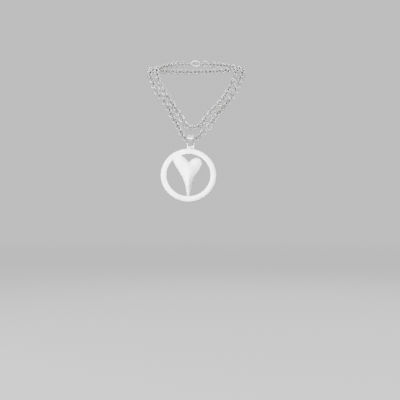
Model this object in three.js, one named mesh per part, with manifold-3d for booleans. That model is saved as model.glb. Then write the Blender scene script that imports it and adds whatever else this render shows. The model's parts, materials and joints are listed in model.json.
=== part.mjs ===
// Pendant necklace: one 70 cm belcher chain worn twice round the neck, with a lobster clasp
// at the nape and a round pendant, with an elongated heart in it, that hangs from a bail.
// Millimetres, +Z up. The origin is between the two points where the chain turns over the
// sides of the neck. The front of the necklace faces -Y, and +X is to the viewer's right.
import * as THREE from "three";
import { mergeVertices } from "three/addons/utils/BufferGeometryUtils.js";
import Module from "manifold-3d";

const wasm = await Module();
wasm.setup();

// ---- Driving dimensions --------------------------------------------------------------

const LINK = { radius: 3.2, wire: 0.7, sides: 8, wireSides: 4 };
const PITCH = 4.65; // wanted distance between link centres
const LONGEST_RUN = 5; // links joined into one node
const BEAD = 0.95; // joins two links of a run where their wires meet

const GAP = 0.3; // between touching pieces
const NAPE = { y: 41, z: 13 };
const CLASP_X = 0;
const RING_SIDE_X = CLASP_X + 11.3; // centre of the link that the end ring holds
const EYE_SIDE_X = CLASP_X - 13.95; // centre of the link that the jump ring holds

const BAIL = { x: -5, y: -60.5, z: -85, bore: 4.1, strap: 0.65, width: 8, lean: 20 };
const TAPER = { top: -0.5, bottom: -5.2, width: 6 }; // the strap narrows towards its fold
const BAR = { drop: 4.7, radius: 0.5, halfLength: 4 };
const LOBE = BAR.radius + 0.15; // inner radius of the bail's fold round the bar

const PENDANT = { lean: 15, drop: 36.2, offset: -2.3, outer: 30, inner: 24, thick: 2 };
const HEART = { thick: 1.4, bevel: 0.4 };
const STIRRUP = { footHalf: 2.9, crossDrop: 3.6, wire: 0.45 };

// The chain's centreline, in the order that the chain is worn. A mark says what lies at a
// point: "turn" is a contact between two links, "link" is the centre of a link, and "clasp"
// is the centre of the last link before the clasp, after which the chain starts again at
// the next point. The last number is the roll of the links, in degrees.
const ROUTE = [
  // upper front strand, left to right
  [-45, 0, 0, 45, "turn"],
  [-44.5, -13, -8.5, 45],
  [-41.5, -21, -17, 45],
  [-33, -31, -31.5, 45],
  [-25, -38, -44.5, 30],
  [-16, -46, -59, 0],
  [-9.5, -51.5, -69, 45],
  [-3, -53.5, -71.5, 45],
  [4, -52.5, -69.5, 45],
  [12.5, -47, -60, 0],
  [19.5, -42.5, -51.5, 0],
  [30.5, -35, -38.5, 0],
  [38, -27, -25, 0],
  [44.5, -16.5, -11.5, 45],
  [48, 0, 0, 45, "turn"],
  // lower wrap at the nape, right to left
  [41.5, 18.5, 2, 45],
  [25, 33.5, 3, 45],
  [1, 40, 3, 45],
  [-25, 37.5, 3, 45],
  [-45, 22, 2, 45],
  [-52, 0, 0, 45, "turn"],
  // lower front strand, left to right, through the bail
  [-52.5, -11, -8, 45],
  [-50, -17, -14.5, 45],
  [-43.5, -25.5, -28, 45],
  [-33.5, -34, -41, 45],
  [-25, -43, -58, 45],
  [-20, -49.5, -67.5, 45],
  [-16, -55, -76, 45],
  [-12.5, -58.8, -81.8, 45],
  [BAIL.x - 3.5, BAIL.y, BAIL.z, 45],
  [BAIL.x, BAIL.y, BAIL.z, 45, "link"],
  [BAIL.x + 3.5, BAIL.y, BAIL.z, 45],
  [3, -59.2, -82.4, 45],
  [7.5, -56.5, -78, 10],
  [12.5, -53, -72.5, 0],
  [18, -49, -66.5, 10],
  [27.5, -39, -51.5, 35],
  [37, -31.5, -40, 40],
  [45.5, -24.5, -26.5, 45],
  [52.5, -14, -11.5, 45],
  [55, 0, 0, 45, "turn"],
  // upper wrap at the nape, right to left, with the clasp in it
  [47, 22, 6, 45],
  [31, 34.5, 10.5, 45],
  [RING_SIDE_X + 5, NAPE.y - 0.5, NAPE.z, 0],
  [RING_SIDE_X, NAPE.y, NAPE.z, 0, "clasp"],
  [EYE_SIDE_X, NAPE.y, NAPE.z, 90, "link"],
  [EYE_SIDE_X - 5, NAPE.y - 0.5, NAPE.z, 90],
  [-30, 29.5, 10, 45],
  [-40, 17, 5.5, 45],
];

// ---- Materials -----------------------------------------------------------------------

function silver(color, roughness) {
  return new THREE.MeshStandardMaterial({ color, roughness, metalness: 1 });
}

const chainSilver = silver(0x8f9194, 0.32);
const satinSilver = silver(0xdfe0e3, 0.4);
const polishedSilver = silver(0xc4c6ca, 0.22);
const springSteel = silver(0x8a8d92, 0.35);

// ---- Solids --------------------------------------------------------------------------

function solid(geometry) {
  const bare = geometry.clone();
  bare.deleteAttribute("normal");
  bare.deleteAttribute("uv");
  const merged = mergeVertices(bare, 1e-4);
  return new wasm.Manifold(
    new wasm.Mesh({
      numProp: 3,
      vertProperties: new Float32Array(merged.attributes.position.array),
      triVerts: new Uint32Array(merged.index.array),
    }),
  );
}

function geometryOf(manifold) {
  const mesh = manifold.getMesh();
  const geometry = new THREE.BufferGeometry();
  const position = new Float32Array(mesh.vertProperties);
  geometry.setAttribute("position", new THREE.BufferAttribute(position, 3));
  geometry.setIndex(new THREE.BufferAttribute(new Uint32Array(mesh.triVerts), 1));
  geometry.computeVertexNormals();
  return geometry;
}

function union(geometries) {
  const solids = geometries.map(solid);
  return solids.reduce((whole, piece) => whole.add(piece));
}

function named(name, geometry, material) {
  const mesh = new THREE.Mesh(geometry, material.clone());
  mesh.name = name;
  return mesh;
}

// A round bar from one point to another, with domed ends.
function bar(from, to, radius, sides = 8) {
  const along = new THREE.Vector3().subVectors(to, from);
  const geometry = new THREE.CapsuleGeometry(radius, along.length(), 2, sides);
  const turn = new THREE.Quaternion().setFromUnitVectors(
    new THREE.Vector3(0, 1, 0),
    along.clone().normalize(),
  );
  geometry.applyQuaternion(turn);
  geometry.translate(...new THREE.Vector3().addVectors(from, to).multiplyScalar(0.5));
  return geometry;
}

// A cylinder whose axis is along Y, for cuts through a flat piece.
function disc(radius, height, x, z, sides = 64) {
  const geometry = new THREE.CylinderGeometry(radius, radius, height, sides);
  geometry.translate(x, 0, z);
  return geometry;
}

// A flat plate in the XZ plane from an outline drawn in X and Z, centred on Y = 0.
function plate(shape, thick, bevel = 0) {
  const geometry = new THREE.ExtrudeGeometry(shape, {
    depth: thick - 2 * bevel,
    bevelEnabled: bevel > 0,
    bevelThickness: bevel,
    bevelSize: bevel,
    bevelOffset: -bevel,
    bevelSegments: 1,
    curveSegments: 6,
  });
  geometry.translate(0, 0, bevel - thick / 2);
  geometry.rotateX(Math.PI / 2);
  return geometry;
}

// ---- The chain's route ---------------------------------------------------------------

const route = new THREE.CatmullRomCurve3(
  ROUTE.map(([x, y, z]) => new THREE.Vector3(x, y, z)),
  true,
  "centripetal",
);
const STEPS = 40; // divisions of the route between two of its points
route.arcLengthDivisions = ROUTE.length * STEPS;
const lengths = route.getLengths();
const routeLength = lengths[lengths.length - 1];

// Roll at a distance along the route, in radians, straight between the points.
function rollAt(distance) {
  let i = 0;
  while (i < ROUTE.length - 1 && lengths[(i + 1) * STEPS] < distance) i += 1;
  const from = lengths[i * STEPS];
  const share = (distance - from) / (lengths[(i + 1) * STEPS] - from);
  const next = ROUTE[(i + 1) % ROUTE.length][3];
  return THREE.MathUtils.degToRad(ROUTE[i][3] + share * (next - ROUTE[i][3]));
}

// A link's place: its centre, its tangent, and the direction that its face looks in. The
// roll is measured from the horizontal line that runs out from the middle of the neck.
function placeLink(distance, number) {
  const u = distance / routeLength;
  const centre = route.getPointAt(u);
  const tangent = route.getTangentAt(u);
  const outward = new THREE.Vector3(centre.x, centre.y, 0);
  outward.addScaledVector(tangent, -outward.dot(tangent)).normalize();
  const roll = rollAt(distance) + (number % 2) * (Math.PI / 2);
  const face = outward.applyAxisAngle(tangent, roll);
  const across = new THREE.Vector3().crossVectors(face, tangent);
  const basis = new THREE.Matrix4().makeBasis(tangent, across, face);
  return { centre, turn: new THREE.Quaternion().setFromRotationMatrix(basis) };
}

// The stretches between two marks, and the links on each, at an even pitch near PITCH.
function stretches() {
  const marks = ROUTE.map((point, i) => ({ mark: point[4], at: lengths[i * STEPS] }));
  const stops = marks.filter((entry) => entry.mark);
  stops.push({ mark: stops[0].mark, at: routeLength });
  const found = [];
  let number = 0;
  for (let i = 0; i < stops.length - 1; i += 1) {
    const from = stops[i];
    const to = stops[i + 1];
    if (from.mark === "clasp") continue; // the clasp hangs here
    const before = from.mark === "turn" ? 0.5 : 0;
    const after = to.mark === "turn" ? 0.5 : 0;
    const whole = to.at - from.at;
    const steps = Math.round(whole / PITCH - before - after);
    const pitch = whole / (before + steps + after);
    const followsClasp = stops[i - 1]?.mark === "clasp";
    const startsAfterLink = from.mark === "link" && !followsClasp;
    // The chain's last link stands across its first.
    if (followsClasp) number = (steps + 1) % 2;
    const links = [];
    for (let k = startsAfterLink ? 1 : 0; k <= steps; k += 1) {
      links.push(placeLink(from.at + (before + k) * pitch, number));
      number += 1;
    }
    found.push(links);
  }
  return found;
}

const linkGeometry = new THREE.TorusGeometry(
  LINK.radius,
  LINK.wire,
  LINK.wireSides,
  LINK.sides,
);

// Several links of a strand as one solid, about the middle one's centre.
function runGeometry(links, origin) {
  const pieces = links.map((link) => {
    const geometry = linkGeometry.clone();
    geometry.applyQuaternion(link.turn);
    return geometry.translate(...link.centre.clone().sub(origin));
  });
  for (let i = 1; i < links.length; i += 1) {
    const bead = new THREE.OctahedronGeometry(BEAD);
    const along = new THREE.Vector3().subVectors(links[i].centre, links[i - 1].centre);
    bead.applyQuaternion(
      new THREE.Quaternion().setFromUnitVectors(
        new THREE.Vector3(1, 0, 0),
        along.normalize(),
      ),
    );
    const middle = links[i].centre.clone().add(links[i - 1].centre).multiplyScalar(0.5);
    pieces.push(bead.translate(...middle.sub(origin)));
  }
  return geometryOf(union(pieces));
}

// One strand as a group: the links at the numbers in `alone` are nodes of their own, and
// the links between them are joined into runs.
function strand(name, links, alone) {
  const group = new THREE.Group();
  const single = new Set(alone.map((i) => (i < 0 ? links.length + i : i)));
  const add = (part) => {
    const middle = part[Math.floor(part.length / 2)];
    const number = String(group.children.length + 1).padStart(2, "0");
    const kind = part.length === 1 ? "link" : "run";
    const geometry = part.length === 1 ? linkGeometry : runGeometry(part, middle.centre);
    const mesh = named(`${name}_${kind}_${number}`, geometry, chainSilver);
    mesh.position.copy(middle.centre);
    if (part.length === 1) mesh.quaternion.copy(middle.turn);
    group.add(mesh);
  };
  let start = 0;
  while (start < links.length) {
    let end = start + 1;
    while (!single.has(start) && end < links.length && !single.has(end)) end += 1;
    const count = Math.ceil((end - start) / LONGEST_RUN);
    for (let k = 0; k < count; k += 1) {
      const from = start + Math.round(((end - start) * k) / count);
      const to = start + Math.round(((end - start) * (k + 1)) / count);
      add(links.slice(from, to));
    }
    start = end;
  }
  return group;
}

// ---- Bail: a strap bent to a tube for the chain, folded round the pendant's bar --------

// Outline of the bail seen along X: a circle round the chain and a small one round the bar,
// joined by their common tangents.
function bailOutline(grow) {
  const big = BAIL.bore + grow;
  const small = LOBE + grow;
  const reach = Math.acos((big - small) / BAR.drop);
  const shape = new THREE.Shape();
  shape.absarc(0, 0, big, reach - Math.PI / 2, -reach - Math.PI / 2, false);
  shape.absarc(0, -BAR.drop, small, -reach - Math.PI / 2, reach - Math.PI / 2, false);
  return shape;
}

function bail() {
  const outer = bailOutline(BAIL.strap);
  outer.holes.push(bailOutline(0));
  const geometry = new THREE.ExtrudeGeometry(outer, {
    depth: BAIL.width,
    bevelEnabled: false,
    curveSegments: 14,
  });
  geometry.translate(0, 0, -BAIL.width / 2);
  // The outline's X becomes the depth, and its Y the height.
  geometry.rotateX(Math.PI / 2);
  geometry.rotateZ(Math.PI / 2);
  const strap = solid(geometry).intersect(solid(taperedBlock()));
  return named("bail", geometryOf(strap), polishedSilver);
}

// The space that the strap keeps: as wide as the strap at the top, narrower at the fold.
function taperedBlock() {
  const wide = BAIL.width / 2;
  const narrow = TAPER.width / 2;
  const front = new THREE.Shape([
    new THREE.Vector2(-wide, 10),
    new THREE.Vector2(-wide, TAPER.top),
    new THREE.Vector2(-narrow, TAPER.bottom),
    new THREE.Vector2(-narrow, -10),
    new THREE.Vector2(narrow, -10),
    new THREE.Vector2(narrow, TAPER.bottom),
    new THREE.Vector2(wide, TAPER.top),
    new THREE.Vector2(wide, 10),
  ]);
  const block = new THREE.ExtrudeGeometry(front, { depth: 20, bevelEnabled: false });
  block.translate(0, 0, -10);
  block.rotateX(Math.PI / 2);
  return block;
}

// ---- Pendant -------------------------------------------------------------------------
// Drawn upright in the XZ plane, with its hinge axis, the stirrup's bar, along X through 0.

function pendantRing() {
  const { outer, inner, thick } = PENDANT;
  const half = thick / 2;
  const edge = 0.3;
  const profile = [
    [inner, -half],
    [outer - edge, -half],
    [outer, edge - half],
    [outer, half - edge],
    [outer - edge, half],
    [inner, half],
    [inner, -half],
  ].map(([x, y]) => new THREE.Vector2(x, y));
  const mesh = named("pendant_ring", new THREE.LatheGeometry(profile, 60), satinSilver);
  mesh.position.set(PENDANT.offset, 0, -PENDANT.drop);
  return mesh;
}

// An elongated heart. Its left lobe and its tip run into the ring, and its right lobe
// stands clear of it.
function heart() {
  const outline = new THREE.Shape();
  outline.moveTo(0.5, 15);
  outline.bezierCurveTo(3, 17.5, 6, 20, 9, 19.7);
  outline.bezierCurveTo(13, 19.5, 16, 15.5, 14.2, 11);
  outline.bezierCurveTo(12.5, 6.5, 8.5, 1, 6.2, -3.3);
  outline.bezierCurveTo(3.5, -9, 2.2, -16, 1.3, -26);
  outline.lineTo(-1.5, -26);
  outline.bezierCurveTo(-2, -17, -3.3, -10, -6.3, -3.3);
  outline.bezierCurveTo(-8.5, 1, -12, 6.5, -14.3, 11);
  outline.bezierCurveTo(-17, 15, -17, 18, -15.5, 20.5);
  outline.bezierCurveTo(-14, 24, -8, 24, -5.5, 20.8);
  outline.bezierCurveTo(-3, 19, -1.5, 17.5, 0.5, 15);
  const whole = solid(plate(outline, HEART.thick + 2 * HEART.bevel, HEART.bevel));
  const inside = solid(disc(PENDANT.inner - GAP, PENDANT.thick * 3, 0, 0, 72));
  const mesh = named("pendant_heart", geometryOf(whole.intersect(inside)), satinSilver);
  mesh.position.set(PENDANT.offset, 0, -PENDANT.drop);
  return mesh;
}

// The wire frame that joins the pendant to the bail: a bar that turns in the bail's fold,
// two legs that close in on the ring, and a cross-piece between the legs.
function stirrup() {
  const foot = PENDANT.outer - PENDANT.drop - 1;
  const half = BAR.halfLength;
  const share = STIRRUP.crossDrop / -foot;
  const crossHalf = half + (STIRRUP.footHalf - half) * share;
  const corner = (side, x, z) => new THREE.Vector3(side * x, 0, z);
  const pieces = [
    bar(corner(-1, half, 0), corner(1, half, 0), BAR.radius),
    bar(corner(-1, half, 0), corner(-1, STIRRUP.footHalf, foot), STIRRUP.wire),
    bar(corner(1, half, 0), corner(1, STIRRUP.footHalf, foot), STIRRUP.wire),
    bar(
      corner(-1, crossHalf, -STIRRUP.crossDrop),
      corner(1, crossHalf, -STIRRUP.crossDrop),
      STIRRUP.wire,
    ),
  ];
  const seat = solid(
    disc(PENDANT.outer + GAP, 6, PENDANT.offset, -PENDANT.drop, 96),
  );
  return named("pendant_stirrup", geometryOf(union(pieces).subtract(seat)), polishedSilver);
}

function hangingParts() {
  const bailGroup = new THREE.Group();
  bailGroup.position.set(BAIL.x, BAIL.y, BAIL.z);
  bailGroup.rotation.x = THREE.MathUtils.degToRad(-BAIL.lean);
  bailGroup.add(bail());
  const pendantGroup = new THREE.Group();
  pendantGroup.position.set(0, 0, -BAR.drop);
  pendantGroup.rotation.x = THREE.MathUtils.degToRad(BAIL.lean - PENDANT.lean);
  pendantGroup.add(pendantRing(), heart(), stirrup());
  bailGroup.add(pendantGroup);
  return bailGroup;
}

// ---- Lobster clasp -------------------------------------------------------------------
// Drawn in the XZ plane with the chain along X. The eye is at -X and the hook at +X.

const CLASP = {
  long: 6.2, // half length and half width of the body
  wide: 3.9,
  holeX: 0.7,
  holeLong: 3.8,
  holeWide: 2.2,
  thick: 2.2,
  eyeX: -7.4,
  eyeOuter: 1.9,
  eyeHole: 1.05,
  eyeThick: 1.4,
};
const LEVER = { pivotX: -2.2, pivotZ: 2.6, tip: 3.2, thick: 0.9, pin: 0.4, hole: 0.55 };
const JUMP_RING = { radius: 2.3, wire: 0.5, x: -9.75 };
const END_RING = { radius: 3.2, wire: 0.5, x: 6.6 };

function ellipse(x, z, a, b) {
  const shape = new THREE.Shape();
  shape.absellipse(x, z, a, b, 0, Math.PI * 2, false, 0);
  return shape;
}

function block(x0, x1, z0, z1, thick) {
  const geometry = new THREE.BoxGeometry(x1 - x0, thick, z1 - z0);
  return geometry.translate((x0 + x1) / 2, 0, (z0 + z1) / 2);
}

// The closed band of the body, before the gate is cut out of it.
function claspBand(thick, inset) {
  const outline = ellipse(0, 0, CLASP.long - inset, CLASP.wide - inset);
  const hole = ellipse(CLASP.holeX, 0, CLASP.holeLong + inset, CLASP.holeWide + inset);
  outline.holes.push(hole);
  return solid(plate(outline, thick));
}

function claspBody() {
  const tall = CLASP.thick * 3;
  const gate = solid(block(-0.8, LEVER.tip, 0.4, 5, tall));
  const slot = solid(block(-4.4, 0, 0.9, 5, LEVER.thick + GAP));
  const pinHole = solid(disc(LEVER.hole, tall, LEVER.pivotX, LEVER.pivotZ, 12));
  const eye = solid(disc(CLASP.eyeOuter, CLASP.eyeThick, CLASP.eyeX, 0, 20));
  const eyeHole = solid(disc(CLASP.eyeHole, tall, CLASP.eyeX, 0, 16));
  const neckShape = block(CLASP.eyeX + 1.4, -5, -1, 1, CLASP.eyeThick);
  const body = claspBand(CLASP.thick, 0)
    .add(eye)
    .add(solid(neckShape))
    .subtract(eyeHole)
    .subtract(gate)
    .subtract(slot)
    .subtract(pinHole);
  return named("clasp_body", geometryOf(body), polishedSilver);
}

// The lever closes the gate: its tail turns on the pin between the body's two cheeks, and
// its thumb tab stands proud of the body.
function claspLever() {
  const reach = solid(block(-3.4, LEVER.tip - GAP, 1.3, 4.6, CLASP.thick));
  const band = claspBand(LEVER.thick, 0.05).intersect(reach);
  const tab = solid(disc(0.8, LEVER.thick, LEVER.pivotX + 0.6, 4.2, 12));
  const hole = solid(disc(LEVER.pin + 0.15, 6, LEVER.pivotX, LEVER.pivotZ, 12));
  return named("clasp_lever", geometryOf(band.add(tab).subtract(hole)), polishedSilver);
}

function claspPin() {
  const pin = disc(LEVER.pin, CLASP.thick + 0.2, LEVER.pivotX, LEVER.pivotZ, 12);
  return named("clasp_pin", pin, springSteel);
}

function ringAt(name, { radius, wire, x }) {
  const mesh = named(name, new THREE.TorusGeometry(radius, wire, 6, 16), polishedSilver);
  mesh.position.x = x;
  return mesh;
}

function clasp() {
  const group = new THREE.Group();
  group.position.set(CLASP_X, NAPE.y, NAPE.z);
  group.add(claspBody(), claspLever(), claspPin());
  group.add(ringAt("jump_ring", JUMP_RING), ringAt("end_ring", END_RING));
  return group;
}

// ---- The whole necklace --------------------------------------------------------------

const [upper, napeLower, lowerLeft, lowerRight, napeRight, napeLeft] = stretches();
const lower = [...lowerLeft, ...lowerRight];
const atBail = lowerLeft.length - 1;
const necklace = new THREE.Group();
necklace.add(
  strand("upper", upper, [0, Math.floor(upper.length / 2), -1]),
  strand("nape_lower", napeLower, [0, -1]),
  strand("lower", lower, [0, atBail - 1, atBail, atBail + 1, -1]),
  strand("nape_right", napeRight, [0, -1]),
  strand("nape_left", napeLeft, [0, -1]),
  hangingParts(),
  clasp(),
);

export default necklace;
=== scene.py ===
"""Pendant necklace: the visible pieces, built round the packed frame.

A doubled belcher chain, a bail, a stirrup, an open round pendant with an elongated heart
in it, and a lobster clasp at the nape. Sizes are in millimetres until they become meshes.
"""

import json
import math

import bmesh
import bpy
import numpy as np
from bpy.props import FloatProperty, FloatVectorProperty, IntProperty, PointerProperty
from mathutils import Matrix, Vector, geometry


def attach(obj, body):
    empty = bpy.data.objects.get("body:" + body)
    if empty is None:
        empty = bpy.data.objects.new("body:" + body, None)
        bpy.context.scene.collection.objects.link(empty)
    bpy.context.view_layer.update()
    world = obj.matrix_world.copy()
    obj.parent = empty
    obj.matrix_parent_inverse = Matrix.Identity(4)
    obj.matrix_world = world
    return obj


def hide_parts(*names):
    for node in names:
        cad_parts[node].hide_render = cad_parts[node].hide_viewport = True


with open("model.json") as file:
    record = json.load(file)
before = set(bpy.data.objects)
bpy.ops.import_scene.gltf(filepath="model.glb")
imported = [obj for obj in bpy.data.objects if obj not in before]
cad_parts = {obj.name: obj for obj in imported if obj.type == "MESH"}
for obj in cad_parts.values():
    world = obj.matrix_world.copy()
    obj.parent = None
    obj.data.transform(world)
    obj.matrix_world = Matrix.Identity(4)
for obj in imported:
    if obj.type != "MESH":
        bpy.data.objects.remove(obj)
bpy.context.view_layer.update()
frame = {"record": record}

bl_info = {
    "name": "Pendant necklace",
    "version": (1, 0, 0),
    "blender": (4, 5, 0),
    "location": "View3D > Sidebar > Necklace",
    "description": "Builds a doubled belcher chain with a round heart pendant",
    "category": "Add Mesh",
}

MM = 0.001
JOINTS = {joint["name"]: joint for joint in frame["record"]["behaviour"]["joints"]}
MOUNTS = {mount["name"]: mount for mount in frame["record"]["mounts"]}
BODY_NODES = frame["record"]["behaviour"]["bodies"]


# ---- Places, taken from the frame ------------------------------------------------------


def joint_place(name):
    """A joint's place at rest, in millimetres."""
    return Vector(JOINTS[name]["pos_m"]) / MM


BAIL_CENTRE = joint_place("bail_swing")
BAR_CENTRE = joint_place("pendant_swing")
CLASP_CENTRE = joint_place("clasp_swivel")
LEVER_PIVOT = joint_place("lever_pivot") - CLASP_CENTRE
BAR_DROP = (BAR_CENTRE - BAIL_CENTRE).length
TAPER_TOP, TAPER_BOTTOM = -0.5, -5.2  # heights between which the bail's strap narrows


def lean_of(direction):
    """How far a direction that hangs down leans towards the front, in radians."""
    return math.atan2(-direction.y, -direction.z)


BAIL_LEAN = lean_of(BAR_CENTRE - BAIL_CENTRE)
PLATE_BACK = Vector(MOUNTS["pendant_back"]["axis"])
PENDANT_LEAN = math.atan2(-PLATE_BACK.z, PLATE_BACK.y)

BAIL_FRAME = Matrix.Translation(BAIL_CENTRE) @ Matrix.Rotation(-BAIL_LEAN, 4, "X")
PENDANT_FRAME = Matrix.Translation(BAR_CENTRE) @ Matrix.Rotation(-PENDANT_LEAN, 4, "X")
CLASP_FRAME = Matrix.Translation(CLASP_CENTRE)

# The chain's centreline, in the order that the chain is worn. A mark says what lies at a
# point: "turn" is a contact between two links, "link" is the centre of a link, and "clasp"
# is the centre of the last link before the clasp. The last number is the links' roll.
RING_SIDE_X = 11.3
EYE_SIDE_X = -13.95
BX, BY, BZ = BAIL_CENTRE
CX, CY, CZ = CLASP_CENTRE
ROUTE = [
    # upper front strand, left to right
    (-45, 0, 0, 45, "turn"),
    (-44.5, -13, -8.5, 45),
    (-41.5, -21, -17, 45),
    (-33, -31, -31.5, 45),
    (-25, -38, -44.5, 30),
    (-16, -46, -59, 0),
    (-9.5, -51.5, -69, 45),
    (-3, -53.5, -71.5, 45),
    (4, -52.5, -69.5, 45),
    (12.5, -47, -60, 0),
    (19.5, -42.5, -51.5, 0),
    (30.5, -35, -38.5, 0),
    (38, -27, -25, 0),
    (44.5, -16.5, -11.5, 45),
    (48, 0, 0, 45, "turn"),
    # lower wrap at the nape, right to left
    (41.5, 18.5, 2, 45),
    (25, 33.5, 3, 45),
    (1, 40, 3, 45),
    (-25, 37.5, 3, 45),
    (-45, 22, 2, 45),
    (-52, 0, 0, 45, "turn"),
    # lower front strand, left to right, through the bail
    (-52.5, -11, -8, 45),
    (-50, -17, -14.5, 45),
    (-43.5, -25.5, -28, 45),
    (-33.5, -34, -41, 45),
    (-25, -43, -58, 45),
    (-20, -49.5, -67.5, 45),
    (-16, -55, -76, 45),
    (-12.5, -58.8, -81.8, 45),
    (BX - 3.5, BY, BZ, 45),
    (BX, BY, BZ, 45, "link"),
    (BX + 3.5, BY, BZ, 45),
    (3, -59.2, -82.4, 45),
    (7.5, -56.5, -78, 10),
    (12.5, -53, -72.5, 0),
    (18, -49, -66.5, 10),
    (27.5, -39, -51.5, 35),
    (37, -31.5, -40, 40),
    (45.5, -24.5, -26.5, 45),
    (52.5, -14, -11.5, 45),
    (55, 0, 0, 45, "turn"),
    # upper wrap at the nape, right to left, with the clasp in it
    (47, 22, 6, 45),
    (31, 34.5, 10.5, 45),
    (CX + RING_SIDE_X + 5, CY - 0.5, CZ, 0),
    (CX + RING_SIDE_X, CY, CZ, 0, "clasp"),
    (CX + EYE_SIDE_X, CY, CZ, 90, "link"),
    (CX + EYE_SIDE_X - 5, CY - 0.5, CZ, 90),
    (-30, 29.5, 10, 45),
    (-40, 17, 5.5, 45),
]
STRANDS = ("upper_strand", "root", "lower_strand", "lower_strand", "root", "root")
STEPS = 40  # divisions of the route between two of its points
POINTS_PER_LINK = 12  # points for each link on the line that the links hang on


# ---- Settings --------------------------------------------------------------------------


def size(name, default, description):
    """A length in millimetres, as a property."""
    description += ", in mm"
    return FloatProperty(name=name, default=default, description=description, min=0.0)


def colour(name, default, description):
    """A colour, as a property."""
    settings = {"name": name, "default": default, "description": description}
    return FloatVectorProperty(subtype="COLOR", size=3, min=0.0, max=1.0, **settings)


class NecklaceChain(bpy.types.PropertyGroup):
    """Sizes of the belcher chain."""

    radius: size("Link radius", 3.2, "Middle of a link to the middle of its wire")
    wire: size("Wire radius", 0.68, "Radius of a link's round wire")
    pitch: size("Pitch", 4.65, "Wanted distance between link centres")
    sides: IntProperty(name="Sides", default=22, description="Sides round a link", min=6)
    wire_sides: IntProperty(
        name="Wire sides", default=9, description="Sides round the wire", min=4
    )
    play: FloatProperty(
        name="Play",
        default=math.radians(5),
        description="Most that a link turns away from its even place",
        subtype="ANGLE",
    )
    seed: IntProperty(name="Seed", default=7, description="Seed of the links' play")


class NecklaceBail(bpy.types.PropertyGroup):
    """Sizes of the bail and of the stirrup that hangs in it."""

    bore: size("Bore", 4.1, "Radius of the tube that the chain passes through")
    strap: size("Strap", 0.65, "Thickness of the strap")
    width: size("Width", 8.0, "Width of the strap")
    fold_width: size("Fold width", 6.0, "Width of the strap at its fold")
    crown: size("Crown", 0.22, "How far the strap's middle stands proud")
    lobe: size("Fold", 0.65, "Inner radius of the fold round the stirrup's bar")
    bar_half: size("Half bar", 4.45, "Half the length of the stirrup's bar")
    foot_half: size("Half foot", 3.4, "Half the width of the stirrup at its feet")
    stirrup: size("Stirrup", 0.95, "Thickness of the stirrup")


class NecklacePendant(bpy.types.PropertyGroup):
    """Sizes of the open round pendant."""

    outer: size("Outer radius", 30.0, "Outer radius of the ring")
    inner: size("Inner radius", 24.0, "Inner radius of the ring")
    thick: size("Thickness", 2.0, "Thickness of the ring")
    drop: size("Drop", 36.2, "From the stirrup's bar to the ring's middle")
    offset: FloatProperty(
        name="Offset", default=-2.3, description="Sideways place of the ring's middle, mm"
    )
    dome: size("Dome", 0.65, "How far the heart's ridge stands proud of its rim")
    edge: size("Edge", 0.3, "Radius of the softened edges")


class NecklaceClasp(bpy.types.PropertyGroup):
    """Sizes of the lobster clasp."""

    half_long: size("Half length", 6.2, "Half the length of the body")
    half_wide: size("Half width", 3.9, "Half the width of the body")
    thick: size("Thickness", 2.2, "Thickness of the body")
    lever_thick: size("Lever", 0.9, "Thickness of the lever")
    wire: size("Ring wire", 0.5, "Radius of the two rings' wire")


class NecklaceFinish(bpy.types.PropertyGroup):
    """Colours of the metals and of the studio."""

    chain: colour("Chain", (0.82, 0.81, 0.795), "Bright silver of the links")
    # Dark end of the chain's painted shade inside the links and at their contacts, also
    # used for random oxide patches.
    tarnish_and_shade_tone: colour("Tarnish", (0.045, 0.042, 0.04), "Dark tone between the links")
    satin: colour("Satin", (0.93, 0.93, 0.935), "Bright satin silver of the pendant")
    polish: colour("Polish", (0.8, 0.79, 0.785), "Polished silver of the fittings")
    steel: colour("Steel", (0.5, 0.51, 0.53), "Steel of the pin and the spring")
    floor: colour("Floor", (0.78, 0.78, 0.79), "Pale studio floor")


GROUPS = {
    "necklace_chain": NecklaceChain,
    "necklace_bail": NecklaceBail,
    "necklace_pendant": NecklacePendant,
    "necklace_clasp": NecklaceClasp,
    "necklace_finish": NecklaceFinish,
}


# ---- Node trees ------------------------------------------------------------------------


def arithmetic(operation, turned=False):
    """A method of Field for one of Python's operators."""

    def method(field, other):
        inputs = {0: other, 1: field} if turned else {0: field, 1: other}
        return field.graph.node("ShaderNodeMath", inputs, operation=operation)

    return method


class Field:
    """A node's output that Python's own operators work on, through Math nodes."""

    def __init__(self, graph, socket):
        self.graph = graph
        self.socket = socket

    __add__ = arithmetic("ADD")
    __radd__ = arithmetic("ADD", turned=True)
    __sub__ = arithmetic("SUBTRACT")
    __rsub__ = arithmetic("SUBTRACT", turned=True)
    __mul__ = arithmetic("MULTIPLY")
    __truediv__ = arithmetic("DIVIDE")
    __pow__ = arithmetic("POWER")
    __mod__ = arithmetic("MODULO")

    def ramp(self, low, high, start=0.0, end=1.0):
        """This value eased from start at low to end at high, and held outside them."""
        inputs = {0: self, 1: low, 2: high, 3: start, 4: end}
        eased = {"interpolation_type": "SMOOTHSTEP"}
        return self.graph.node("ShaderNodeMapRange", inputs, **eased)


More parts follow.
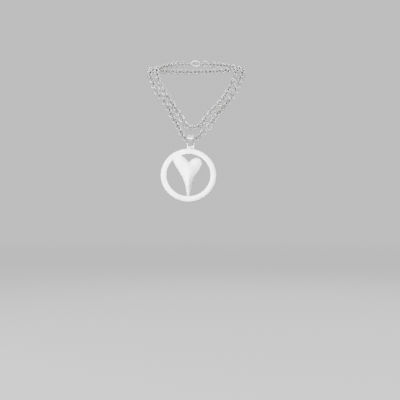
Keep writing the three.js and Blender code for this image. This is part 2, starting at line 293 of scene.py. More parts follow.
class Graph:
    """A node tree with one method that adds a node."""

    def __init__(self, tree):
        self.tree = tree

    def node(self, kind, inputs=None, output=0, **settings):
        """Adds a node, sets it and its sockets, and returns one output as a Field."""
        made = self.tree.nodes.new(kind)
        for name, value in settings.items():
            setattr(made, name, value)
        for key, value in (inputs or {}).items():
            if isinstance(value, Field):
                self.tree.links.new(value.socket, made.inputs[key])
            else:
                made.inputs[key].default_value = value
        return Field(self, made.outputs[output]) if len(made.outputs) else made

    def mix(self, factor, first, second):
        """Two colours mixed by a factor."""
        colours = {0: factor, 6: first, 7: second}
        return self.node("ShaderNodeMix", colours, 2, data_type="RGBA")

    def attribute(self, name):
        """A value stored on the mesh."""
        return self.node("ShaderNodeAttribute", {}, "Fac", attribute_name=name)

    def axes(self, vector):
        """The parts of a vector along X, Y and Z."""
        parts = self.node("ShaderNodeSeparateXYZ", {0: vector}).socket.node
        return [Field(self, part) for part in parts.outputs]

    def noise(self, coords, scale, detail=3.0, stretch=None):
        """Noise of so many features to the millimetre, centred on 0.5."""
        if stretch:
            coords = self.node("ShaderNodeMapping", {"Vector": coords, "Scale": stretch})
        inputs = {"Vector": coords, "Scale": scale / MM, "Detail": detail}
        return self.node("ShaderNodeTexNoise", inputs, "Fac")


def rgba(colour, shade=1.0):
    """A property's colour, times a shade, with its alpha."""
    return (*(part * shade for part in colour), 1.0)


def fresh_graph(owner):
    """The emptied node tree of a material or of a world."""
    owner.use_nodes = True
    owner.node_tree.nodes.clear()
    return Graph(owner.node_tree)


def bump(graph, height, depth):
    """A Bump node for marks that are `depth` millimetres deep."""
    inputs = {"Height": height, "Strength": 1.0, "Distance": depth * MM}
    return graph.node("ShaderNodeBump", inputs, "Normal")


def chain_silver(graph, coords, finish):
    """Tumbled silver, darkened inside each link and most at its contacts as painted shade,
    with random dark patches of oxide.
    """
    fine = graph.noise(coords, 2.2)
    broad = graph.noise(coords, 0.25)
    inner = graph.attribute("inner")
    contact = graph.attribute("contact")
    tone = graph.attribute("tone")
    # The inside of a link and its contacts are darkened as painted shade; the broad noise
    # adds random oxide patches.
    painted_shade_and_tarnish = (inner * 0.6 + contact * inner * 0.8 + (broad - 0.5) * 0.5).ramp(0.35, 1)
    bright = graph.mix(tone, rgba(finish.chain, 0.8), rgba(finish.chain))
    return {
        "Base Color": graph.mix(painted_shade_and_tarnish, bright, rgba(finish.tarnish_and_shade_tone)),
        "Roughness": 0.17 + fine * 0.1 + painted_shade_and_tarnish * 0.25,
        "Normal": bump(graph, fine, 0.012),
    }


def satin_silver(graph, coords, finish):
    """Satin plate: a fine rub all over, a few longer scratches from wear, and painted
    shade on the faces that turn sideways.
    """
    rub = graph.noise(coords, 3.0, 2.0, (0.12, 1.0, 1.0))
    grain = graph.noise(coords, 9.0, 2.0)
    cloud = graph.noise(coords, 0.09, 4.0)
    scratch = graph.noise(coords, 0.6, 6.0, (0.1, 1.0, 1.6)).ramp(0.64, 0.7)
    # The rims and the walls of the openings, which face sideways, get painted shade.
    side = graph.attribute("side").ramp(0.25, 0.95)
    shade = (cloud - 0.5) * 0.5 + scratch * 0.3 + (rub - 0.5) * 0.2 + side * 0.9
    return {
        "Base Color": graph.mix(shade, rgba(finish.satin), rgba(finish.satin, 0.4)),
        "Roughness": 0.26 + rub * 0.14 + (cloud - 0.5) * 0.2,
        "Normal": bump(graph, rub + grain * 0.6 - scratch * 0.8, 0.014),
    }


def polished_silver(graph, coords, finish):
    """Polished silver with fine wheel marks and darker patches of stain, spread by noise.
    """
    wheel = graph.noise(coords, 3.0, 3.0, (1.0, 0.15, 0.4))
    cloud = graph.noise(coords, 0.35, 4.0)
    stain = cloud.ramp(0.5, 0.85)
    return {
        "Base Color": graph.mix(stain, rgba(finish.polish), rgba(finish.polish, 0.45)),
        "Roughness": 0.13 + wheel * 0.08 + stain * 0.2,
        "Normal": bump(graph, wheel, 0.006),
    }


def spring_steel(graph, coords, finish):
    """Plain steel with drawn marks."""
    drawn = graph.noise(coords, 4.0, 2.0, (1.0, 0.1, 1.0))
    return {
        "Base Color": rgba(finish.steel),
        "Roughness": 0.25 + drawn * 0.15,
        "Normal": bump(graph, drawn, 0.005),
    }


METALS = (chain_silver, satin_silver, polished_silver, spring_steel)


def finish_of(name):
    """The metal of that name, made the first time that it is asked for."""
    if name in bpy.data.materials:
        return bpy.data.materials[name]
    made = bpy.data.materials.new(name)
    graph = fresh_graph(made)
    coords = graph.node("ShaderNodeTexCoord", {}, "Object")
    recipe = {metal.__name__: metal for metal in METALS}[name]
    sockets = recipe(graph, coords, bpy.context.scene.necklace_finish)
    surface = graph.node("ShaderNodeBsdfPrincipled", {**sockets, "Metallic": 1.0})
    graph.node("ShaderNodeOutputMaterial", {"Surface": surface})
    return made


# ---- Meshes ----------------------------------------------------------------------------

SAME_POINT = 1e-7  # points closer than this are one, in metres
SLIVER = 2e-6  # edges shorter than this are dissolved, in metres
DOME_STEPS = (1.45, 1.1, 0.7, 0.35)  # angles of a domed wire end's rings, in radians


def add_object(name, mesh, material):
    """An object in the scene, closed and smooth, with its normals outwards."""
    shaped = bmesh.new()
    shaped.from_mesh(mesh)
    bmesh.ops.remove_doubles(shaped, verts=shaped.verts, dist=SAME_POINT)
    bmesh.ops.dissolve_degenerate(shaped, edges=shaped.edges, dist=SLIVER)
    bmesh.ops.holes_fill(shaped, edges=shaped.edges, sides=8)
    loose = [edge for edge in shaped.edges if not edge.link_faces]
    bmesh.ops.delete(shaped, geom=loose, context="EDGES")
    if shaped.calc_volume(signed=True) < 0:
        bmesh.ops.reverse_faces(shaped, faces=shaped.faces)
    for face in shaped.faces:
        face.smooth = True
    shaped.to_mesh(mesh)
    shaped.free()
    mesh.materials.clear()
    mesh.materials.append(finish_of(material))
    made = bpy.data.objects.new(name, mesh)
    bpy.context.scene.collection.objects.link(made)
    return made


def piece(name, shape, place, material):
    """An object from points in millimetres, in the frame `place`, and their faces."""
    points, faces = shape
    mesh = bpy.data.meshes.new(name)
    mesh.from_pydata([place @ Vector(point) * MM for point in points], [], faces)
    mesh.validate()
    return add_object(name, mesh, material)


def mark_sides(made, place):
    """Stores how far each point of a flat piece faces sideways, from 0 to 1; the satin
    metal darkens these faces as painted shade.
    """
    face = (place.to_3x3() @ Vector((0, -1, 0))).normalized()
    sides = [1 - abs(vertex.normal.dot(face)) for vertex in made.data.vertices]
    stored = made.data.attributes.new("side", "FLOAT", "POINT")
    stored.data.foreach_set("value", sides)


def give(made, body, slot, *nodes):
    """Says which body carries a piece and the CAD nodes that it stands for; slot is not
    used.
    """
    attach(made, body)
    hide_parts(*nodes)


def swept(sections, closed):
    """Points and faces through a row of sections. A section is a closed list of points."""
    rows, count = len(sections), len(sections[0])
    points = [point for section in sections for point in section]
    faces = []
    for i in range(rows if closed else rows - 1):
        j = (i + 1) % rows
        for k in range(count):
            m = (k + 1) % count
            faces.append((i * count + k, i * count + m, j * count + m, j * count + k))
    if not closed:
        faces.append(tuple(range(count))[::-1])
        faces.append(tuple((rows - 1) * count + k for k in range(count)))
    return points, faces


def wire(path, radius, dome, sides=14):
    """Points and faces of a round wire along an open path, with its ends domed."""
    path = [Vector(point) for point in path]
    spots = []
    for i, point in enumerate(path):
        tangent = (path[min(i + 1, len(path) - 1)] - path[max(i - 1, 0)]).normalized()
        side = spots[-1][2] if spots else tangent.orthogonal().normalized()
        side = (side - tangent * side.dot(tangent)).normalized()
        spots.append((point, tangent, side, radius))

    def domed(spot, way, angle):
        point, tangent, side, _ = spot
        out = tangent * radius * math.sin(angle) * dome
        return point + out * way, tangent, side, radius * math.cos(angle)

    start = [domed(spots[0], -1, angle) for angle in DOME_STEPS]
    end = [domed(spots[-1], 1, angle) for angle in reversed(DOME_STEPS)]
    sections = []
    for centre, tangent, across, reach in start + spots + end:
        up = tangent.cross(across)
        turns = [2 * math.pi * k / sides for k in range(sides)]
        sections.append(
            [centre + (across * math.cos(a) + up * math.sin(a)) * reach for a in turns]
        )
    return swept(sections, False)


def arc(centre, radius, start, end, steps):
    """Points in X and Z on an arc, angles in degrees from +X towards +Z."""
    angles = [math.radians(start + (end - start) * i / steps) for i in range(steps + 1)]
    x, z = centre
    return [(x + radius * math.cos(a), z + radius * math.sin(a)) for a in angles]


def bezier(start, first, second, end, steps):
    """Points on a cubic curve after its start."""
    t = np.arange(1, steps + 1)[:, None] / steps
    s = 1 - t
    return s**3 * start + 3 * s * s * t * first + 3 * s * t * t * second + t**3 * end


# ---- Plates with softened edges --------------------------------------------------------

EDGE_STEPS = (0.13, 0.5, 1.0)  # where a softened edge has points, as shares of its width
CLEAR_OF_EDGE = 1.7  # how far the grid of points keeps from the rim, in edge widths
SAME_CORNER = 1e-5  # corners of the plate closer than this are one, in mm
ON_THE_RIM = 1e-4  # points closer than this to the rim lie on it, in mm


def inside(points, outline):
    """Which of the points lie inside a closed outline, by the crossings to their right."""
    x, z = points[:, 0], points[:, 1]
    found = np.zeros(len(points), dtype=bool)
    for (ax, az), (bx, bz) in zip(outline, np.roll(outline, -1, axis=0)):
        if az == bz:
            continue
        crosses = (az > z) != (bz > z)
        found ^= crosses & (x < (bx - ax) * (z - az) / (bz - az) + ax)
    return found


def distance_to(points, outlines):
    """The distance from each point to the nearest outline."""
    best = np.full(len(points), np.inf)
    for outline in outlines:
        start = np.asarray(outline)
        along = np.roll(start, -1, axis=0) - start
        long = np.maximum((along**2).sum(axis=1), 1e-12)
        for a, d, l in zip(start, along, long):
            t = np.clip(((points - a) @ d) / l, 0, 1)
            gap = np.hypot(*(points - a - t[:, None] * d).T)
            best = np.minimum(best, gap)
    return best


def inset(outline, depth):
    """A closed outline moved to its left by a depth."""
    here = np.asarray(outline)
    chord = np.roll(here, -1, axis=0) - np.roll(here, 1, axis=0)
    chord /= np.maximum(np.linalg.norm(chord, axis=1), 1e-9)[:, None]
    return here + depth * np.column_stack([-chord[:, 1], chord[:, 0]])


def on_plate(points, outlines):
    """Which of the points lie inside the first outline and outside its holes."""
    found = inside(points, outlines[0])
    for hole in outlines[1:]:
        found &= ~inside(points, hole)
    return found


def plate(outline, holes, height_of, edge, grid):
    """Points and faces of a plate in the XZ plane with softened edges.

    outline runs anticlockwise and holes clockwise, seen from the front. height_of gives
    half the thickness on the front and on the back, from the points and their distances
    to the rim. grid is the distance between the points inside.
    """
    outlines = [np.asarray(rim) for rim in (outline, *holes)]
    low, high = outlines[0].min(axis=0), outlines[0].max(axis=0)
    steps = [np.arange(low[k] + grid / 2, high[k], grid) for k in (0, 1)]
    mesh = np.stack(np.meshgrid(*steps), axis=-1).reshape(-1, 2)
    mesh = mesh[on_plate(mesh, outlines)]
    mesh = mesh[distance_to(mesh, outlines) > edge * CLEAR_OF_EDGE]
    near = []
    for rim in outlines:
        for share in EDGE_STEPS:
            ring = inset(rim, edge * share)
            near.append(ring[distance_to(ring, outlines) > edge * share * 0.9])
    flat = np.vstack(outlines + near + [mesh])
    rims = []
    base = 0
    for rim in outlines:
        rims += [(base + i, base + (i + 1) % len(rim)) for i in range(len(rim))]
        base += len(rim)
    fill = 0 if holes else 1  # a plain outline keeps only the triangles inside it
    verts, _, faces, *_ = geometry.delaunay_2d_cdt(
        [Vector(point) for point in flat], rims, [], fill, SAME_CORNER
    )
    verts = np.array([tuple(v) for v in verts])
    middles = np.array([verts[list(face)].mean(axis=0) for face in faces])
    faces = [tuple(face) for face, kept in zip(faces, on_plate(middles, outlines)) if kept]
    rim_gap = distance_to(verts, outlines)
    rim_gap[rim_gap < ON_THE_RIM] = 0.0
    front, back = height_of(verts, rim_gap)
    count = len(verts)
    points = [(x, -y, z) for (x, z), y in zip(verts, front)]
    points += [(x, y, z) for (x, z), y in zip(verts, back)]
    sheet = faces + [tuple(count + i for i in reversed(face)) for face in faces]
    pairs = [pair for face in faces for pair in zip(face, face[1:] + face[:1])]
    borders = dict.fromkeys(pairs)
    for a, b in borders:
        if (b, a) not in borders:
            sheet.append((b, a, count + a, count + b))
    return points, sheet


def rounded(gap, edge):
    """How far a softened edge has risen at a distance from the rim, from 0 to 1."""
    share = np.clip(gap / edge, 0, 1)
    return np.sqrt(1 - (1 - share) ** 2)


def even_sides(half, edge):
    """The heights of a plate that is flat on both sides, for `plate`."""

    def heights(points, gap):
        rise = half - edge + edge * rounded(gap, edge)
        return rise, rise

    return heights


# ---- Chain -----------------------------------------------------------------------------


def catmull_rom(points):
    """A closed centripetal Catmull-Rom curve, STEPS divisions to each span."""
    points = np.asarray(points, dtype=float)
    count = len(points)
    t = np.arange(STEPS)[:, None] / STEPS
    samples = []
    for i in range(count):
        p0, p1, p2, p3 = (points[(i + k) % count] for k in (-1, 0, 1, 2))
        d0, d1, d2 = (
            np.linalg.norm(b - a) ** 0.5 for a, b in ((p0, p1), (p1, p2), (p2, p3))
        )
        start = ((p1 - p0) / d0 - (p2 - p0) / (d0 + d1) + (p2 - p1) / d1) * d1
        end = ((p2 - p1) / d1 - (p3 - p1) / (d1 + d2) + (p3 - p2) / d2) * d1
        cubic = 2 * p1 - 2 * p2 + start + end
        square = -3 * p1 + 3 * p2 - 2 * start - end
        samples.append(p1 + start * t + square * t**2 + cubic * t**3)
    return np.vstack(samples + [points[:1]])


def stretches(pitch):
    """The stretches of the route between two marks, as (first, last, links, parity)."""
    curve = catmull_rom([point[:3] for point in ROUTE])
    gaps = np.linalg.norm(np.diff(curve, axis=0), axis=1)
    along = np.concatenate([[0.0], np.cumsum(gaps)])
    rolls = [point[3] for point in ROUTE] + [ROUTE[0][3]]
    roll = np.interp(along, along[::STEPS], rolls)
    stops = [(point[4], along[i * STEPS]) for i, point in enumerate(ROUTE) if point[4:]]
    stops.append((stops[0][0], along[-1]))
    found = []
    number = 0
    for i in range(len(stops) - 1):
        (mark, start), (next_mark, end) = stops[i : i + 2]
        if mark == "clasp":
            continue
        before = 0.5 if mark == "turn" else 0.0
        after = 0.5 if next_mark == "turn" else 0.0
        steps = round((end - start) / pitch - before - after)
        even = (end - start) / (before + steps + after)
        follows_clasp = i > 0 and stops[i - 1][0] == "clasp"
        skip = 1 if mark == "link" and not follows_clasp else 0
        if follows_clasp:
            number = (steps + 1) % 2
        first = start + (before + skip) * even
        last = start + (before + steps) * even
        links = steps + 1 - skip
        found.append((first, last, links, number % 2))
        number += links
    return curve, along, roll, found


def link_tree(material):
    """Geometry Nodes that hang links along each polyline of a mesh."""
    tree = bpy.data.node_groups.new("Belcher links", "GeometryNodeTree")
    wanted = {
        "Strand": "Geometry",
        "Link radius": "Float",
        "Wire radius": "Float",
        "Sides": "Int",
        "Wire sides": "Int",
        "Play": "Float",
        "Seed": "Int",
    }

    def socket(name, way, kind):
        kind = f"NodeSocket{kind}"
        return tree.interface.new_socket(name=name, in_out=way, socket_type=kind)

    sockets = {name: socket(name, "INPUT", kind) for name, kind in wanted.items()}
    socket("Links", "OUTPUT", "Geometry")
    graph = Graph(tree)
    entry = tree.nodes.new("NodeGroupInput")

    def given(name):
        return Field(graph, entry.outputs[name])

    def named(name, kind):
        name = {"Name": name}
        return graph.node("GeometryNodeInputNamedAttribute", name, data_type=kind)

    def stored(shape, name, value, domain="POINT", kind="FLOAT"):
        settings = {"data_type": kind, "domain": domain}
        inputs = {"Geometry": shape, "Name": name, "Value": value}
        return graph.node("GeometryNodeStoreNamedAttribute", inputs, **settings)

    def chance(low, high, offset):
        inputs = {2: low, 3: high, "Seed": given("Seed") + offset}
        return graph.node("FunctionNodeRandomValue", inputs, 1, data_type="FLOAT")

    def turned(rotation, axis, angle):
        turn = graph.node("FunctionNodeAxisAngleToRotation", {0: axis, 1: angle})
        both = {0: rotation, 1: turn}
        return graph.node("FunctionNodeRotateRotation", both, rotation_space="LOCAL")

    # One link, drawn in the XY plane, with the neighbours' contacts on its X axis.
    radius, wire_radius = given("Link radius"), given("Wire radius")
    ring = {"Radius": radius, "Resolution": given("Sides")}
    section = {"Radius": wire_radius, "Resolution": given("Wire sides")}
    circle = graph.node("GeometryNodeCurvePrimitiveCircle", ring)
    profile = graph.node("GeometryNodeCurvePrimitiveCircle", section)
    link = graph.node("GeometryNodeCurveToMesh", {0: circle, "Profile Curve": profile})
    x, y, _ = graph.axes(graph.node("GeometryNodeInputPosition"))
    reach = (x * x + y * y) ** 0.5
    # inner and contact mark a link's inside and the places where its neighbours touch,
    # which the chain's material darkens as painted shade.
    inner = 1.0 - (reach - (radius - wire_radius)) / (wire_radius * 2.0)
    link = stored(link, "inner", inner)
    link = stored(link, "contact", ((x * x) ** 0.5 / reach).ramp(0.7, 1.0))

    # The strand as curves, with a point at each link's centre.
    strand = graph.node("GeometryNodeMeshToCurve", {0: given("Strand")})
    tangent = graph.node("GeometryNodeInputTangent")
    strand = stored(strand, "tangent", tangent, kind="FLOAT_VECTOR")
    inputs = {"Curve": strand, "Count": named("links", "INT")}
    strand = graph.node("GeometryNodeResampleCurve", inputs, mode="COUNT")
    flat = {0: graph.node("GeometryNodeInputPosition"), 1: (1.0, 1.0, 0.0)}
    outward = graph.node("ShaderNodeVectorMath", flat, operation="MULTIPLY")
    axes = {0: named("tangent", "FLOAT_VECTOR"), 1: outward}
    order = {"primary_axis": "X", "secondary_axis": "Z"}
    rotation = graph.node("FunctionNodeAxesToRotation", axes, **order)
    index = graph.node("GeometryNodeSplineParameter", {}, "Index")
    across = ((index + named("parity", "INT")) % 2.0) * (math.pi / 2)
    roll = named("roll", "FLOAT") + across
    play = given("Play")
    rotation = turned(rotation, (1, 0, 0), roll + play * chance(-1.0, 1.0, 1))
    rotation = turned(rotation, (0, 1, 0), play * chance(-0.5, 0.5, 2))
    inputs = {"Points": strand, "Instance": link, "Rotation": rotation}
    links = graph.node("GeometryNodeInstanceOnPoints", inputs)
    links = stored(links, "tone", chance(0.0, 1.0, 3), domain="INSTANCE")
    links = graph.node("GeometryNodeRealizeInstances", {0: links})
    inputs = {"Geometry": links, "Material": material}
    links = graph.node("GeometryNodeSetMaterial", inputs)
    leave = tree.nodes.new("NodeGroupOutput")
    tree.links.new(links.socket, leave.inputs[0])
    return tree, sockets


def strand_mesh(name, curve, along, roll, parts):
    """The centreline of a body's stretches, with what the links' tree reads from it."""
    points, edges = [], []
    stored = {"roll": [], "links": [], "parity": []}
    for first, last, count, odd in parts:
        stations = np.linspace(first, last, count * POINTS_PER_LINK)
        base = len(points)
        columns = [np.interp(stations, along, column) for column in curve.T]
        points += [tuple(p * MM) for p in np.column_stack(columns)]
        edges += [(base + i, base + i + 1) for i in range(len(stations) - 1)]
        stored["roll"] += list(np.radians(np.interp(stations, along, roll)))
        stored["links"] += [count] * len(stations)
        stored["parity"] += [odd] * len(stations)
    mesh = bpy.data.meshes.new(name)
    mesh.from_pydata(points, edges, [])
    for title, values in stored.items():
        kind = "FLOAT" if title == "roll" else "INT"
        mesh.attributes.new(title, kind, "POINT").data.foreach_set("value", values)
    return mesh


class NECKLACE_OT_chain(bpy.types.Operator):
    """Hangs the belcher links along both turns of the chain"""

    bl_idname = "necklace.chain"
    bl_label = "Chain"

    def execute(self, context):
        settings = context.scene.necklace_chain
        curve, along, roll, found = stretches(settings.pitch)
        tree, sockets = link_tree(finish_of("chain_silver"))
        values = {
            "Link radius": settings.radius * MM,
            "Wire radius": settings.wire * MM,
            "Sides": settings.sides,
            "Wire sides": settings.wire_sides,
            "Play": settings.play,
            "Seed": settings.seed,
        }
        prefixes = {"upper_strand": "upper", "lower_strand": "lower", "root": "nape"}
        for body, prefix in prefixes.items():
            parts = [part for part, strand in zip(found, STRANDS) if strand == body]
            path = strand_mesh(f"{prefix}_path", curve, along, roll, parts)
            guide = bpy.data.objects.new(f"{prefix}_path", path)
            context.scene.collection.objects.link(guide)
            modifier = guide.modifiers.new("Links", "NODES")
            modifier.node_group = tree
            for name, value in values.items():
                modifier[sockets[name].identifier] = value
            context.view_layer.update()
            evaluated = guide.evaluated_get(context.evaluated_depsgraph_get())
            mesh = bpy.data.meshes.new_from_object(evaluated)
            bpy.data.objects.remove(guide)
            chain = add_object(f"{prefix}_chain", mesh, "chain_silver")
            nodes = [name for name in BODY_NODES[body] if name.startswith(prefix)]
            give(chain, body, "chain", *nodes)
        return {"FINISHED"}


# ---- Bail and stirrup ------------------------------------------------------------------

SOFT = 0.16  # radius of the strap's softened edges, in mm
STRAP_POINTS = 13  # points across each side of the strap
BEND_STEPS = 64  # steps round the strap's upper bend
STRAIGHT_STEP = 0.4  # longest step along the strap's straight sides, in mm
STIRRUP_GRID, OUTLINE_STEP = 0.35, 0.25  # distances between the stirrup's points, in mm


def bail_path(big, small, steps):
    """The bail's section seen along X, as (y, z, outward y, outward z)."""
    reach = math.acos((big - small) / BAR_DROP)
    turns = ((0.0, big, reach - math.pi / 2, 1.5 * math.pi - reach),)
    turns += ((-BAR_DROP, small, 1.5 * math.pi - reach, 1.5 * math.pi + reach),)
    path = []
    for z, radius, start, end in turns:
        count = steps if radius == big else steps // 2
        for i in range(count + 1):
            angle = start + (end - start) * i / count
            c, s = math.cos(angle), math.sin(angle)
            path.append((radius * c, z + radius * s, c, s))
    return path


class NECKLACE_OT_bail(bpy.types.Operator):
    """Bends the bail's strap round the chain and the stirrup's bar"""

    bl_idname = "necklace.bail"
    bl_label = "Bail"

    def execute(self, context):
        settings = context.scene.necklace_bail
        path = []
        base = bail_path(settings.bore, settings.lobe, BEND_STEPS)
        for spot, ahead in zip(base, base[1:] + base[:1]):
            path.append(spot)
            y, z, *outward = spot
            step_y, step_z = ahead[0] - y, ahead[1] - z
            gap = math.hypot(step_y, step_z)
            fill = int(gap / STRAIGHT_STEP) if gap > 1 else 0
            for k in range(1, fill):
                path.append((y + step_y * k / fill, z + step_z * k / fill, *outward))
        sections = [self.section(settings, *spot) for spot in path]
        strap = piece("bail_strap", swept(sections, True), BAIL_FRAME, "polished_silver")
        give(strap, "bail", "fittings_polished", "bail")
        return {"FINISHED"}

    def section(self, settings, y, z, ny, nz):
        """The strap's section at a place on its path, with its outer side crowned."""
        half = settings.width / 2
        low = max(0.0, min(1.0, (TAPER_TOP - z) / (TAPER_TOP - TAPER_BOTTOM)))
        reach = half + (settings.fold_width / 2 - half) * low
        ring = []
        for way in (1, -1):
            for k in range(STRAP_POINTS):
                across = way * (2 * k / (STRAP_POINTS - 1) - 1)
                side = reach * math.sin(across * math.pi / 2)
                near_edge = max(0.0, abs(side) - (reach - SOFT)) / SOFT
                lift = SOFT * (1 - math.sqrt(max(0.0, 1 - near_edge**2)))
                if way == 1:
                    crown = settings.crown * (1 - (side / reach) ** 2)
                    lift = settings.strap + crown - lift
                ring.append(Vector((side, y + ny * lift, z + nz * lift)))
        return ring


def rounded_corners(corners, steps=6):
    """A closed outline through corners, each (x, z, radius)."""
    outline = []
    count = len(corners)
    for i, (x, z, radius) in enumerate(corners):
        here = Vector((x, z))
        before = (Vector(corners[i - 1][:2]) - here).normalized()
        after = (Vector(corners[(i + 1) % count][:2]) - here).normalized()
        half = before.angle(after) / 2
        back = radius / math.tan(half)
        middle = here + (before + after).normalized() * (radius / math.sin(half))
        first = here + before * back - middle
        last = here + after * back - middle
        for k in range(steps + 1):
            towards = first.slerp(last, k / steps).normalized()
            outline.append(tuple(middle + towards * radius))
    return spaced(outline, OUTLINE_STEP)


def spaced(outline, gap):
    """A closed outline with no two points further apart than a gap."""
    full = []
    for start, end in zip(outline, outline[1:] + outline[:1]):
        parts = max(1, math.ceil(math.dist(start, end) / gap))
        for k in range(parts):
            full.append(tuple(a + (b - a) * k / parts for a, b in zip(start, end)))
    return full


class NECKLACE_OT_stirrup(bpy.types.Operator):
    """Cuts the stirrup that joins the pendant to the bail, and opens its two windows"""

    bl_idname = "necklace.stirrup"
    bl_label = "Stirrup"

    def execute(self, context):
        settings = context.scene.necklace_bail
        pendant = context.scene.necklace_pendant
        half = settings.stirrup / 2
        bar, feet = settings.bar_half, settings.foot_half
        seat = pendant.outer - pendant.drop  # the ring's top under the left foot
        outline = [
            (-feet - 1.0, seat - 1.0, 0.05),
            (feet + 1.0, seat - 1.2, 0.05),
            (feet, seat - 0.1, 0.9),
            (bar, half, 0.42),
            (-bar, half, 0.42),
            (-feet, seat + 0.3, 0.9),
        ]
        window = [
            (-bar + 0.92, -half, 0.2),
            (-bar + 1.06, -1.6, 0.5),
            (-bar + 1.6, -2.3, 0.5),
            (-bar + 1.9, -3.95, 0.25),
            (bar - 1.95, -3.15, 0.25),
            (bar - 1.6, -2.2, 0.3),
            (bar - 1.06, -1.6, 0.4),
            (bar - 0.92, -half, 0.2),
        ]
        slit = [(-1.6, -4.6, 0.1), (0, -5.8, 0.2), (2.35, -6.2, 0.2), (2.5, -5.0, 0.2)]
        edge = 0.28
        holes = [rounded_corners(hole)[::-1] for hole in (window, slit)]
        shape = plate(
            rounded_corners(outline), holes, even_sides(half, edge), edge, STIRRUP_GRID
        )
        made = piece("stirrup_frame", shape, PENDANT_FRAME, "polished_silver")
        mark_sides(made, PENDANT_FRAME)
        give(made, "pendant", "fittings_polished", "pendant_stirrup")
        return {"FINISHED"}


# ---- Pendant ---------------------------------------------------------------------------

INNER_EDGE = 0.12  # radius of the softened edges at the ring's opening, in mm
RING_STEPS = 192
HEART_GRID = 0.8  # distance between the points on the heart, in mm
LET_IN = 0.9  # how far the heart reaches into the ring, in mm
BELOW_RING = 0.012  # how far the heart's faces lie below the ring's, in mm


class NECKLACE_OT_pendant_ring(bpy.types.Operator):
    """Turns the pendant's flat ring"""

    bl_idname = "necklace.pendant_ring"
    bl_label = "Pendant ring"

    def execute(self, context):
        settings = context.scene.necklace_pendant
        half = settings.thick / 2
        edge = settings.edge
        profile = []
        corners = (
            (settings.inner + INNER_EDGE, INNER_EDGE - half, 180, 270, INNER_EDGE),
            (settings.outer - edge, -half + edge, 270, 360, edge),
            (settings.outer - edge, half - edge, 0, 90, edge),
            (settings.inner + INNER_EDGE, half - INNER_EDGE, 90, 180, INNER_EDGE),
        )
        for r, y, start, end, radius in corners:
            profile += arc((r, y), radius, start, end, 5)
        sections = []
        for i in range(RING_STEPS):
            angle = 2 * math.pi * i / RING_STEPS
            c, s = math.cos(angle), math.sin(angle)
            sections.append(
                [(settings.offset + r * c, y, r * s - settings.drop) for r, y in profile]
            )
        made = piece("ring_plate", swept(sections, True), PENDANT_FRAME, "satin_silver")
        mark_sides(made, PENDANT_FRAME)
        give(made, "pendant", "pendant_satin", "pendant_ring")
        return {"FINISHED"}


def heart_outline():
    """The heart's outline in the ring's own plane, from the notch anticlockwise."""
    start = np.array((0.5, 15))
    curves = [
        ((-1.5, 17.5), (-3, 19), (-5.5, 20.8), 12),
        ((-8, 24), (-14, 24), (-15.5, 20.5), 14),
        ((-17, 18), (-17, 15), (-14.3, 11), 14),
        ((-12, 6.5), (-8.5, 1), (-6.3, -3.3), 18),
        ((-3.3, -10), (-2, -17), (-1.5, -26), 26),
        ((-0.5, -26), (0.5, -26), (1.3, -26), 3),
        ((2.2, -16), (3.5, -9), (6.2, -3.3), 26),
        ((8.5, 1), (12.5, 6.5), (14.2, 11), 18),
        ((16, 15.5), (13, 19.5), (9, 19.7), 18),
        ((6, 20), (3, 17.5), (0.5, 15), 14),
    ]
    outline = []
    for *corners, steps in curves:
        first, second, end = (np.array(corner) for corner in corners)
        outline.append(bezier(start, first, second, end, steps))
        start = end
    return np.vstack(outline)


class NECKLACE_OT_heart(bpy.types.Operator):
    """Cuts the elongated heart and lets its lobe and its tip into the ring"""

    bl_idname = "necklace.heart"
    bl_label = "Heart"

    def execute(self, context):
        settings = context.scene.necklace_pendant
        outline = heart_outline()
        reach = settings.inner + LET_IN
        outline *= np.minimum(1.0, reach / np.hypot(*outline.T))[:, None]
        half = settings.thick / 2
        edge = settings.edge

        def heights(points, gap):
            # The ridge runs from the notch towards the tip, and falls away at both sides.
            ridge = 0.5 - 0.04 * (15 - points[:, 1])
            side = np.abs(points[:, 0] - ridge)
            rise = np.clip(gap / 7.0, 0, 1)
            dome = settings.dome * (1 - (1 - rise) ** 2) * (1 - side / 20)
            inward = np.clip((settings.inner - np.hypot(*points.T)) / 2.5, 0, 1)
            flat = half - edge + edge * rounded(gap, edge) - BELOW_RING
            return flat + dome * inward, flat

        points, faces = plate(outline, [], heights, edge, HEART_GRID)
        moved = [(x + settings.offset, y, z - settings.drop) for x, y, z in points]
        made = piece("heart_plate", (moved, faces), PENDANT_FRAME, "satin_silver")
        mark_sides(made, PENDANT_FRAME)
        give(made, "pendant", "pendant_satin", "pendant_heart")
        return {"FINISHED"}


# ---- Clasp ------------------------------------------------------------------------------

HOLE = (0.7, 3.8, 2.2)  # middle, half length and half width of the body's opening
GATE = (-0.8, 3.2)  # where the gate starts and ends along the clasp
EYE_X, EYE_OUTER, EYE_HOLE, EYE_THICK = -7.4, 1.9, 1.05, 1.4
NECK_X, NECK_HALF = -5.92, 1.19  # where the eye's circle meets the body
EYE_END, EYE_SLOPE = -6.7, 1.3  # where the body starts to thicken, and over what length
SLOT_X, SLOT_Z, SLOT_PLAY = (-4.4, 0.0), (0.9, 5.0), 0.15  # the lever's slot in the body
LEVER_INSET = 0.05  # how far the lever's rims lie inside the body's, in mm
TAB_HEIGHT, TAB_RADIUS = 4.2, 0.8  # the round thumb tab on the lever
CLASP_GRID = 0.3  # distance between the points of the body and of the lever, in mm
RING_GAP, RING_JOINT = 0.06, 62  # half a ring's butt joint in mm, and its place in degrees
PIN_RADIUS, LEVER_HOLE = 0.4, 0.55
RINGS = {"jump_ring": (-9.75, 2.3), "end_ring": (6.6, 3.2)}  # middle and radius


def ellipse(middle, long, wide, start, end, steps):
    """Points on an ellipse between two of its angles, in degrees."""
    points = arc((0, 0), 1, start, end, steps)
    return [(middle + x * long, z * wide) for x, z in points]


def at_x(middle, long, x):
    """The upper angle, in degrees, at which an ellipse is at x."""
    return math.degrees(math.acos((x - middle) / long))


